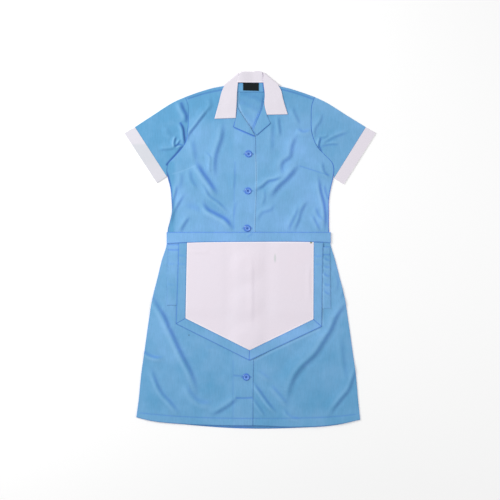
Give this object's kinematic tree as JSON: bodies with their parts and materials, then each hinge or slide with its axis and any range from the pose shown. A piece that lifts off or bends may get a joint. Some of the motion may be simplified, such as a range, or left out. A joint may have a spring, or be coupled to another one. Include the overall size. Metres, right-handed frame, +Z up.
{
  "type": "housekeeping dress",
  "caption": "Short-sleeved button-front housekeeping dress with a notched collar, cuffs, patch pockets and a bordered sewn-on apron, laid flat.",
  "frame": {"origin": "on the floor under the middle of the dress's outline", "axes": "+Y from the hem to the collar, +Z up out of the dress's face, +X to the onlooker's right"},
  "size_m": [0.704, 1.0008, 0.0104],
  "materials": {
    "blue_poplin": "matte light-blue plain weave",
    "white_poplin": "matte cool-white plain weave",
    "blue_button": "gloss, dished",
    "black_label": "satin woven, bare"
  },
  "bodies": {
    "root": {"bodice_back": "blue_poplin", "bodice_front_left": "blue_poplin", "bodice_front_right": "blue_poplin", "skirt_back": "blue_poplin", "skirt_front_left": "blue_poplin", "skirt_front_right": "blue_poplin", "sleeve_left": "blue_poplin", "sleeve_right": "blue_poplin", "neck_facing": "blue_poplin", "lapel_left": "blue_poplin", "lapel_right": "blue_poplin", "waistband": "blue_poplin", "pocket_left": "blue_poplin", "pocket_right": "blue_poplin", "apron_border_left": "blue_poplin", "apron_border_lower_left": "blue_poplin", "apron_border_lower_right": "blue_poplin", "apron_border_right": "blue_poplin", "collar": "white_poplin", "collar_stand": "white_poplin", "cuff_left": "white_poplin", "cuff_right": "white_poplin", "apron_panel": "white_poplin", "button_1": "blue_button", "button_2": "blue_button", "button_3": "blue_button", "button_4": "blue_button", "button_5": "blue_button", "button_6": "blue_button", "button_7": "blue_button", "neck_label": "black_label"}
  },
  "joints": []
}
